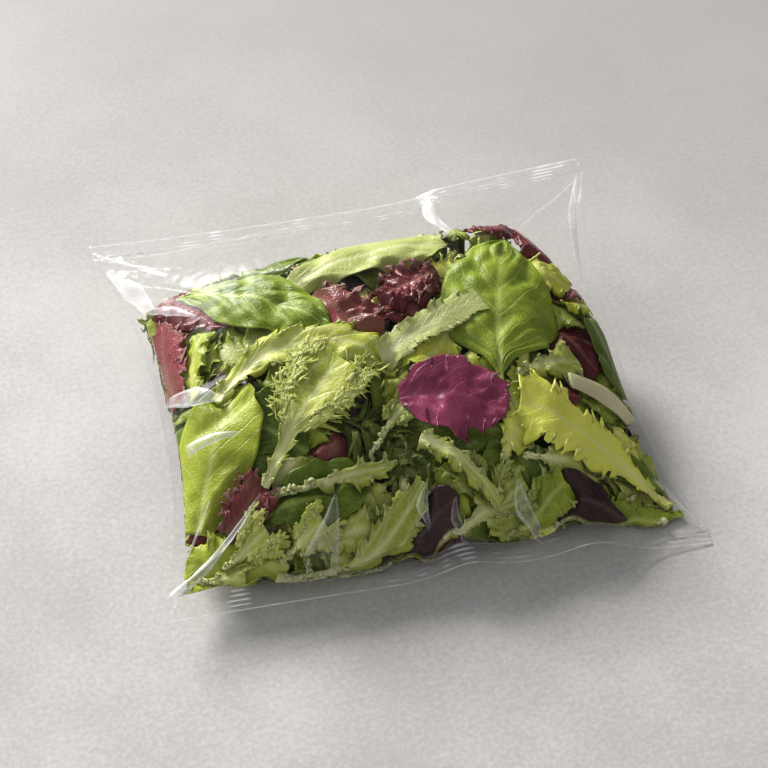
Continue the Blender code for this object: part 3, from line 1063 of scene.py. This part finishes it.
# %% [markdown]
# The rest of the heap
#
# Under and beside the top leaves the bag is simply full. These leaves are drawn from a seeded
# generator, so they come out the same each time: first a ring round the sides, where leaves
# stand along the film, then a row that hangs over the back of the heap, then layers under the
# top ones, and last a few on the lower film, which show from the sides and from below.

# %% Filling leaves
FILL_DETAIL = 0.36
BACK_DETAIL = 0.4
SHORTEST_FILL = 50 * MM
EDGE_LEAVES = 44
BACK_LEAVES = 26
FILL_LAYERS = ((26, 5.0), (24, 9.0), (20, 14.0))    # how many, and how deep in millimetres
BELOW_LEAVES = 22
fill_kinds = ("lettuce", "smooth", "mizuna", "endive", "lettuce", "frisee", "mizuna", "endive",
              "yellow", "lollo", "frisee", "smooth", "lettuce", "smooth", "shade_red")
fill_forms = {"smooth": ("oval", "long", "spoon"), "lettuce": ("fan", "spoon", "cut"),
              "yellow": ("fan", "cut"), "lollo": ("fan", "cut"), "shade_red": ("oval", "spoon"),
              "frisee": ("side",), "mizuna": ("",), "endive": ("fan", "spoon")}
back_kinds = ("lettuce", "endive", "smooth", "yellow", "lettuce", "lollo")
draw = np.random.default_rng(7)


def fill_leaf(place, heading, length, width, depth, seed, **how):
    """One filling leaf round a place, with its kind, form, bow and tone drawn at random. It is
    left out where the bag is empty, or where it would come out too short."""
    if place[1] > back_limit(place[0]) - (0.08 if place[0] < 0.3 else 0.30):
        return
    kind = fill_kinds[int(draw.integers(len(fill_kinds)))]
    form = fill_forms[kind][int(draw.integers(len(fill_forms[kind])))]
    step_x, step_y = half_way(heading, length / 2 * MM)
    last = back_limit(place[0]) - 0.22
    start = (np.clip(place[0] - step_x, -0.98, 0.98), np.clip(place[1] - step_y, -0.96, last))
    end = (np.clip(place[0] + step_x, -0.98, 0.98), np.clip(place[1] + step_y, -0.96, last))
    if distance(start, end) < SHORTEST_FILL:
        return
    lay_leaf(kind, start, end, width, float(draw.uniform(-0.12, 0.12)), depth,
             float(draw.uniform(0.2, 0.8)), form, seed, FILL_DETAIL, **how)


# Round the sides
for number in range(EDGE_LEAVES):
    turn = 2 * math.pi * (number + draw.uniform(-0.3, 0.3)) / EDGE_LEAVES
    reach = 1 / max(abs(math.cos(turn)), abs(math.sin(turn)))
    place = (0.86 * reach * math.cos(turn), 0.80 * reach * math.sin(turn))
    heading = turn + math.pi / 2 + draw.uniform(-0.7, 0.7)
    deep = 1.5 + 3 * draw.uniform()
    fill_leaf(place, heading, draw.uniform(45, 70), draw.uniform(22, 38), (deep, deep, deep),
              1000 + number)

# Over the back of the heap, in mixed order, each one stopping at another distance from the last
for number in range(BACK_LEAVES):
    across = -0.84 + 1.60 * (number * 7 % BACK_LEAVES) / (BACK_LEAVES - 1)
    last = back_limit(across)
    kind = back_kinds[number % 6]
    form = "oval" if kind == "smooth" else "fan"
    deep = draw.uniform(3, 8)
    lay_leaf(kind, (across, last - 0.34), (across + draw.uniform(-0.12, 0.12), last + 0.36),
             draw.uniform(34, 46), float(draw.uniform(-0.08, 0.08)), (deep, deep, deep),
             float(draw.uniform(0.2, 0.8)), form, 1500 + number, BACK_DETAIL,
             short=0.012 * (number % 9))

# In layers under the top leaves
seed = 2000
for count, deep in FILL_LAYERS:
    for number in range(count):
        place = (draw.uniform(-0.82, 0.82), draw.uniform(-0.86, 0.78))
        depth = tuple(deep + draw.uniform(-2, 3, 3))
        fill_leaf(place, draw.uniform(0, 2 * math.pi), draw.uniform(50, 80),
                  draw.uniform(24, 42), depth, seed)
        seed += 1

# On the lower film
for number in range(BELOW_LEAVES):
    place = (draw.uniform(-0.78, 0.78), draw.uniform(-0.8, 0.8))
    fill_leaf(place, draw.uniform(0, 2 * math.pi), draw.uniform(55, 80), draw.uniform(30, 44),
              (0.5, 0.5, 0.5), 3000 + number, below=True)

for kind, shells in laid.items():
    piece_name, look, shape = kinds[kind]
    make_piece(piece_name, shells, leaf_looks[look])

# %% [markdown]
# The core of the heap
#
# Deep in the heap nothing can be told apart. A lumpy body fills it there, so that no light shines
# through the middle of the bag; its very dark green is painted shade, the deep shade between the
# leaves. It follows the top of the heap well below it, and ends before the heap's back.

# %% Core
def pillow_body(top_inset, bottom_inset, reach, rows=70, columns=76):
    """A smaller pillow inside the bag: its top is the heap's surface less an inset, its bottom
    the lower film plus one, and both meet at its edge."""
    u, v = np.meshgrid(np.linspace(-1, 1, rows), np.linspace(-1, 1, columns), indexing="ij")
    across = u * reach
    along = np.where(v > 0, v * (back_limit(across) - 0.30), v * reach)
    x, y = plan(across, along)
    edge = (1 - np.abs(u) ** 4) * (1 - np.abs(v) ** 4)
    lumps = np.sin(260 * x + 90 * y) + np.sin(-140 * x + 230 * y) + np.sin(310 * y + 1)
    upper = heap_surface(across, along) - top_inset + 1.2 * MM * lumps
    lower = ground(across, along) + bottom_inset
    middle = (upper + lower) / 2
    half = np.maximum((upper - lower) / 2, 0.5 * MM) * edge**0.5 + 0.1 * MM
    lowest = ground(across, along) + 1 * MM
    top = np.stack([x, y, np.maximum(middle + half, lowest + 0.3 * MM)], -1)[None]
    bottom = np.stack([x, y, np.maximum(middle - half, lowest)], -1)[None]
    marks = np.zeros((1, rows, columns, 4))
    marks[..., 0] = 0.5
    return shell(top, bottom, marks)


core_material, tree, shader, start = new_material("heap_core")
patches = noise(start, 90.0, 4.0, 0.6)
# painted shade: the core is coloured nearly black-green for the shade deep in the heap
core_painted_shade = patches.between(0.35, 0.7).blend((0.010, 0.016, 0.005), (0.045, 0.070, 0.016))
core_painted_shade.into(shader, "Base Color")
core_bump = start.node("ShaderNodeBump", None,
                       {"Strength": 0.8, "Distance": 0.002, "Height": patches})
core_bump.into(shader, "Normal")
shader.inputs["Roughness"].default_value = 0.6
make_piece("heap_core", [pillow_body(24 * MM, 7 * MM, 0.80)], core_material)

# %% [markdown]
# The film
#
# The film is one closed skin: an upper and a lower sheet that meet at the sides and in the two
# crimped seals. What makes it look like film is how it creases. Where film is pushed it can't
# stretch, so it folds along straight lines and makes flat facets that widen from a point. Each
# crease here is such a tent: a ridge that runs from one place to another while its foot widens.

# %% Film surface
FILM_COLUMNS = 210
FILM_ROWS = 176
SEAL_ROWS = 14
SEAL_HALF = 0.15 * MM           # half the two films' thickness in a seal
SEAL_DROOP = 1.5 * MM           # a seal's cut edge hangs lower than its inner edge
CRIMPS = 5                      # ridges over one seal band
CRIMP_DEPTH = 0.30 * MM
FILM_APART = 0.25 * MM          # the upper and the lower film never come closer

creases = (
    # from, to (shares), half width at both ends and height at both ends, in millimetres
    ((-0.99, -0.99), (-0.74, -0.82), 1.5, 2.6, 2.2, 2.6),
    ((-0.74, -0.82), (-0.62, -0.68), 2.6, 1.5, 2.6, 0.4),
    ((-0.96, -0.99), (-0.70, -0.84), 1.2, 1.8, 1.0, 1.8),
    ((0.86, -0.64), (0.97, -0.98), 1.5, 2.5, 1.2, 3.0),
    ((-0.66, -0.10), (-0.98, -0.20), 1.0, 13.0, 0.3, 3.2),
    ((-0.68, -0.39), (-0.92, -0.36), 1.0, 8.0, 0.2, 2.4),
    ((-0.36, -0.74), (-0.44, -0.99), 0.8, 11.0, 0.3, 2.6),
    ((-0.02, -0.76), (-0.07, -0.95), 0.8, 4.5, 0.3, 1.8),
    ((0.36, -0.83), (0.34, -0.99), 0.8, 8.0, 0.3, 2.4),
    ((0.11, -0.88), (0.08, -0.97), 0.8, 4.0, 0.3, 1.5),
    ((0.31, 0.48), (0.34, 0.99), 1.5, 5.0, 0.6, 4.0),
    ((0.94, 0.20), (0.985, 0.98), 1.5, 5.0, 0.8, 3.5),
    ((-0.74, 0.72), (-0.99, 0.99), 1.2, 3.0, 0.4, 2.5),
    ((-0.70, 0.40), (-0.97, 0.74), 1.5, 7.0, 0.4, 2.8),
    ((-0.88, -0.58), (-0.97, -0.84), 1.2, 3.0, 0.4, 1.6),
)


def tent(x, y, start, end, half_start, half_end, high_start, high_end):
    """Height of one crease: its height falls evenly from its line to its foot, both of which
    change evenly from the start to the end. It fades out just past its ends."""
    x0, y0, span, ux, uy = straight(start, end)
    s = ((x - x0) * ux + (y - y0) * uy) / span
    off = np.abs(-(x - x0) * uy + (y - y0) * ux)
    inside = np.clip(s, 0, 1)
    half = (half_start + (half_end - half_start) * inside) * MM
    high = (high_start + (high_end - high_start) * inside) * MM
    past = np.abs(s - inside) * span
    return high * np.maximum(0, 1 - off / half) * np.exp(-((past / (1.5 * MM)) ** 2))


def film_heights(u, v, out):
    """Places of the upper and lower film for shares and a share of the seal band (0 in the body,
    1 or -1 at the cut edge), with the height of the creases there."""
    x, y = plan(u, v)
    y = y + out * SEAL_BAND
    side_room = smooth(0, 0.06, 1 - np.abs(u))
    creasing = sum(tent(x, y, *crease) for crease in creases)
    nearest = np.minimum(1 - np.abs(u), 1 - np.abs(v))
    crumple = waves_of(x, y, 11 * MM, 3) * 0.20 + np.abs(waves_of(x, y, 17 * MM, 4)) * 0.30
    crumple = crumple * (0.35 + 1.0 * np.exp(-nearest / 0.10))
    gather = np.abs(np.sin(58 * u + 3 * np.sin(7 * u))) * np.exp(-(1 - np.abs(v)) / 0.05) * 0.8
    relief = creasing + (crumple + gather) * MM
    ribs = CRIMP_DEPTH * np.cos(out * math.pi * 2 * CRIMPS)
    seal = seam_height(u, v) + ribs - SEAL_DROOP * np.abs(out) + 0.6 * creasing * side_room
    in_body = out == 0
    up = np.where(in_body, roof(u, v) + relief * side_room, seal + SEAL_HALF)
    up = np.maximum(up, 0.4 * MM)
    down = np.where(in_body, ground(u, v), seal - SEAL_HALF)
    return x, y, up, np.clip(down, 0, up - FILM_APART), creasing


def film_surface():
    """Points of the upper and the lower film (column, row, xyz), with their marks: shares across
    and along, how much the film creases, which sets its white, partly painted highlight, and the
    share of the seal band."""
    body = np.linspace(0, 1, FILM_ROWS)
    body = -0.45 * np.cos(math.pi * body) + 0.55 * (2 * body - 1)
    band = np.linspace(1, 0, SEAL_ROWS, endpoint=False)
    along = np.concatenate([-np.ones(SEAL_ROWS), body, np.ones(SEAL_ROWS)])
    out = np.concatenate([-band, np.zeros(FILM_ROWS), band[::-1]])
    u = np.linspace(-1, 1, FILM_COLUMNS)
    u = 0.35 * np.sin(u * math.pi / 2) + 0.65 * u
    out = np.meshgrid(u, out, indexing="ij")[1]
    u, v = np.meshgrid(u, along, indexing="ij")
    x, y, up, down, creasing = film_heights(u, v, out)
    # white on the creases: partly the film's whitening, partly painted highlight
    haze_and_highlight = np.clip(creasing / (2.5 * MM), 0, 1)
    marks = np.stack([(u + 1) / 2, (v + 1) / 2, haze_and_highlight, np.abs(out)], -1)
    return np.stack([x, y, up], -1), np.stack([x, y, down], -1), marks


# %% [markdown]
# Pinched folds
#
# Where the film is gathered it also folds over on itself. Such a fold is a narrow flap of doubled
# film that lies on the bag, and its white is painted highlight: the light reflected in the
# gathered film, painted white along its two edges and as a thin veil between them. They run from
# the corners and the seals towards the filling, so each is a strip along a path of its own, with
# its width in millimetres at each point, and how much painted highlight its edges and its middle
# get.

# %% Folds
folds = (
    # path in shares, widths in millimetres, painted highlight of the edges, painted highlight of
    # the middle
    (((-0.985, -1.0), (-0.89, -0.92), (-0.79, -0.83), (-0.65, -0.68)), (6, 5, 3.5, 0.8), 0.75,
     0.28),
    (((-1.0, -1.08), (-0.93, -0.96), (-0.86, -0.88)), (0.8, 1.4, 0.7), 0.6, 0.5),
    (((-0.85, -0.62), (-0.91, -0.75), (-0.965, -0.88)), (0.6, 1.2, 0.8), 0.55, 0.5),
    (((-0.995, 1.06), (-0.90, 0.93), (-0.80, 0.68)), (1.6, 3.0, 2.6), 0.65, 0.75),
    (((-0.99, 0.90), (-0.95, 0.70), (-0.93, 0.48)), (1.0, 9.0, 5.0), 0.60, 0.42),
    (((-0.96, 0.52), (-0.86, 0.42), (-0.77, 0.30)), (2.0, 6.0, 1.0), 0.40, 0.34),
    (((-0.975, -0.04), (-0.87, -0.13), (-0.76, -0.20)), (3.0, 12.0, 2.0), 0.60, 0.38),
    (((-0.93, -0.37), (-0.82, -0.37), (-0.70, -0.40)), (6.0, 5.0, 0.8), 0.62, 0.42),
    (((-0.36, -0.75), (-0.39, -0.86), (-0.44, -0.985)), (0.6, 8.0, 17.0), 0.26, 0.09),
    (((-0.01, -0.80), (-0.05, -0.87), (-0.03, -0.95)), (0.6, 6.0, 1.0), 0.32, 0.13),
    (((0.34, -0.82), (0.32, -0.92), (0.39, -1.05)), (0.8, 8.0, 1.5), 0.36, 0.12),
    (((0.08, -0.88), (0.06, -0.95), (0.10, -1.02)), (0.6, 4.5, 1.0), 0.22, 0.09),
    (((0.90, -0.78), (0.96, -0.93), (0.99, -1.04)), (0.8, 2.2, 1.2), 0.55, 0.30),
    (((0.40, 1.06), (0.33, 0.84), (0.30, 0.62), (0.37, 0.44)), (5.0, 6.0, 7.0, 2.5), 0.55, 0.42),
    (((0.98, 0.98), (0.94, 0.62), (0.90, 0.16)), (1.0, 4.5, 1.5), 0.65, 0.40),
    (((0.97, 0.94), (0.82, 0.66), (0.64, 0.42)), (0.8, 1.6, 0.8), 0.35, 0.25),
    (((-0.97, 1.0), (-0.70, 0.93), (-0.42, 0.90)), (0.6, 1.0, 0.6), 0.35, 0.25),
    (((-0.50, 0.86), (-0.42, 0.85), (-0.34, 0.86)), (0.6, 2.2, 0.6), 0.45, 0.35),
)


def fold_sheet(path, widths, painted_edge_white, painted_middle_white, rows=40, columns=9):
    """A strip laid on the upper film along a path, arched a little, with its painted highlight as a
    mark.
    """
    s = np.linspace(0, 1, rows)
    places = np.linspace(0, 1, len(path))
    soft = np.stack([np.interp(s, places, [p[axis] for p in path]) for axis in (0, 1)], -1)
    for _ in range(40):
        soft[1:-1] = (soft[:-2] + 2 * soft[1:-1] + soft[2:]) / 4
    v = soft[:, 1]
    out = np.sign(v) * np.clip((np.abs(v) - 1) / 0.11, 0, 1)
    x, y = plan(soft[:, 0], np.clip(v, -1, 1))
    y = y + out * SEAL_BAND
    step = np.stack([np.gradient(x), np.gradient(y)], -1)
    step = step / np.linalg.norm(step, axis=-1, keepdims=True)
    t = np.linspace(-1, 1, columns)[None, :]
    half = (np.interp(s, places, widths) * MM / 2)[:, None]
    x = x[:, None] - step[:, 1:] * half * t
    y = y[:, None] + step[:, :1] * half * t
    across, along = shares(x, y - out[:, None] * SEAL_BAND)
    across, along = np.clip(across, -1, 1), np.clip(along, -1, 1)
    up = film_heights(across, along, out[:, None] + 0 * t)[2]
    up = up + 0.25 * MM + 0.12 * half * (1 - t**2)
    # painted highlight: white along the fold's two edges and a thinner white veil between them
    painted_white = painted_middle_white * (0.55 + 0.45 * np.sin(9 * s + places[-1])[:, None] ** 2)
    line = np.abs(t) > 1 - 2 / (columns - 1) - 0.01
    painted_white = np.where(line, painted_edge_white, painted_white) * smooth(-0.02, 0.10, s)[:, None]
    painted_white = painted_white * (1 - 0.7 * smooth(0.8, 1.02, s))[:, None]
    marks = np.stack(np.broadcast_arrays(s[:, None], t, painted_white, 0.5), -1)[None]
    points = np.stack([x, y, up], -1)[None]
    return shell(points, points - surface_normals(points) * 0.06 * MM, marks)


fold_material, tree, shader, start = new_material("folded_film_with_painted_highlight")
painted_white = start.marks("leaf")[2]
streaks = noise(start, 260.0, 3.0, 0.6, 1.0)
shader.inputs["Base Color"].default_value = (0.93, 0.93, 0.93, 1)
shader.inputs["Roughness"].default_value = 0.28
# painted highlight: the white veil of the folds stands in for the light reflected in the film
painted_veil = (painted_white * (0.35 + streaks * 1.3)).clamped() * 0.6
make_clear(tree, shader, painted_veil)
make_piece("film_folds_with_painted_highlight", [fold_sheet(*fold) for fold in folds], fold_material)

# %% [markdown]
# Film material
#
# Clear film is mostly not there: a Transparent shader, mixed with a mirror as strong as the
# film's own reflection, which is weak head on and strong at a slant. A little white haze is
# added, more in the seals. On the creases the white is partly the film's whitening and partly
# painted highlight, and white dashes on the seals' crimps and a white line along their cut edges
# are painted highlights. The reflection's share rises steeply with the angle, as (1 - cos)^6,
# and is the same from both sides.

# %% Film material nodes
film_material, tree, shader, start = new_material("clear_film")
# crease white: partly the film's whitening, partly painted highlight on the creases
crease_white_and_highlight = start.marks("leaf")[2]
seal_share = start.marks("look")[0]
in_seal = seal_share.between(0.0, 0.04)
crimps = seal_share.maths("SINE", seal_share * 28.0).between(0.1, 0.9)
# painted highlight: white dashes on the crimps of the seals
glints = noise(start, 42.0, 2.0, 0.7).between(0.52, 0.62) * crimps * in_seal
# painted highlight: a white line along the seals' cut edges
cut_edge_highlight = seal_share.between(0.90, 0.98)
fine = noise(start, 900.0, 3.0, 0.6)
broad = noise(start, 110.0, 3.0, 0.55, 0.6)
bump = start.node("ShaderNodeBump", None,
                  {"Strength": 0.35, "Distance": 0.0006, "Height": broad + fine * 0.06})
bump.into(shader, "Normal")
facing = start.node("ShaderNodeLayerWeight", None, {"Blend": 0.5, "Normal": bump}, out=1)
mirror = facing**6 * 0.90 + 0.004
haze_and_highlight = 0.002 + crease_white_and_highlight * 0.02 + in_seal * 0.006 + facing**4 * 0.02 + glints * 0.32
haze_and_highlight = haze_and_highlight + cut_edge_highlight * 0.22
share = (mirror + haze_and_highlight).clamped()
metal = mirror / (mirror + haze_and_highlight)
metal.into(shader, "Metallic")
shader.inputs["Base Color"].default_value = (0.95, 0.95, 0.95, 1)
(broad * 0.16 + 0.10 + in_seal * 0.04).into(shader, "Roughness")
make_clear(tree, shader, share)

film_top, film_bottom, film_marks = film_surface()
film = make_piece("clear_film", [shell(film_top[None], film_bottom[None], film_marks[None])],
                  film_material)
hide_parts("salad_bag")

# %% [markdown]
# Floor, light and camera
#
# A pale stone top, with painted shade that darkens it towards the back right, and one large soft
# light from the back left.
# The rest is a dim sky with a soft bright area at the left, at the front and overhead, which
# shine off the film. The camera looks down at the bag from the front, a little from its left,
# through a long lens.

# %% Floor
floor_mesh = bpy.data.meshes.new("floor")
FLOOR_HALF = 3.0
FLOOR_LEVEL = -0.3 * MM
floor_corners = [(x * FLOOR_HALF, y * FLOOR_HALF, FLOOR_LEVEL)
                 for x, y in ((-1, -1), (1, -1), (1, 1), (-1, 1))]
floor_mesh.from_pydata(floor_corners, [], [(0, 1, 2, 3)])
floor = bpy.data.objects.new("floor", floor_mesh)
bpy.context.scene.collection.objects.link(floor)
stone, tree, shader, start = new_material("pale_stone")
cloud = noise(start, 7.0, 5.0, 0.6)
grain = noise(start, 420.0, 2.0, 0.5)
stone_colour = (cloud * 0.65 + grain * 0.35).between(0.32, 0.68).blend((0.43, 0.415, 0.400),
                                                                       (0.61, 0.595, 0.580))
place_x, place_y = start.parts()[:2]
# painted shade: the stone's colour darkens towards the back right, where the floor lies in less
# light
painted_shade_to_back = (place_y + place_x * 0.5).between(-0.15, 0.50)
stone_colour = (painted_shade_to_back * 0.88).blend(stone_colour, (0.33, 0.312, 0.298))
stone_colour.into(shader, "Base Color")
shader.inputs["Roughness"].default_value = 0.65
floor_mesh.materials.append(stone)

# %% Light
SKY = (0.09, 0.09, 0.092, 1)
bright_areas = (
    # direction of its middle, brightness
    ((-0.93, -0.20, 0.30), 0.66),
    ((0.20, -0.90, 0.38), 0.34),
    ((-0.05, 0.30, 0.95), 0.38),
)
world = bpy.data.worlds.new("soft_sky")
world.use_nodes = True
background = world.node_tree.nodes["Background"]
way = Wire(world.node_tree, None).node("ShaderNodeTexCoord", out=0)
sky = way.node("ShaderNodeRGB")
sky.socket.default_value = SKY
for middle, brightness in bright_areas:
    towards = way.node("ShaderNodeVectorMath", {"operation": "DOT_PRODUCT"}, {0: way, 1: middle},
                       out=1)
    sky = towards.between(0.45, 0.92).blend(sky, (brightness, brightness, brightness))
sky.into(background, "Color")
bpy.context.scene.world = world


def soft_light(name, place, target, width, height, power, colour=(1, 1, 1)):
    """A rectangular area light that faces its target."""
    data = bpy.data.lights.new(name, "AREA")
    data.shape = "RECTANGLE"
    data.size = width
    data.size_y = height
    data.energy = power
    data.color = colour
    lamp = bpy.data.objects.new(name, data)
    lamp.location = place
    lamp.rotation_mode = "QUATERNION"
    lamp.rotation_quaternion = (Vector(place) - Vector(target)).to_track_quat("Z", "Y")
    bpy.context.scene.collection.objects.link(lamp)
    return lamp


soft_light("window", (-1.48, 3.96, 2.16), (0, 0, 0.02), 1.8, 1.5, 450, (1.0, 0.985, 0.965))

# %% Camera
CAMERA_TARGET = Vector((-0.0048, -0.0102, 0.03))
CAMERA_AZIMUTH = math.radians(-13.15)
CAMERA_ELEVATION = math.radians(46.5)
CAMERA_DISTANCE = 1.259
lens = bpy.data.cameras.new("camera")
lens.lens = 120
lens.sensor_width = 36
lens.clip_start = 0.05
camera = bpy.data.objects.new("camera", lens)
level = math.cos(CAMERA_ELEVATION)
backwards = Vector((math.sin(CAMERA_AZIMUTH) * level, -math.cos(CAMERA_AZIMUTH) * level,
                    math.sin(CAMERA_ELEVATION)))
camera.location = CAMERA_TARGET + backwards * CAMERA_DISTANCE
camera.rotation_mode = "QUATERNION"
camera.rotation_quaternion = backwards.to_track_quat("Z", "Y")
bpy.context.scene.collection.objects.link(camera)
bpy.context.scene.camera = camera
bpy.context.scene.view_settings.view_transform = "Standard"
bpy.context.scene.view_settings.look = "None"
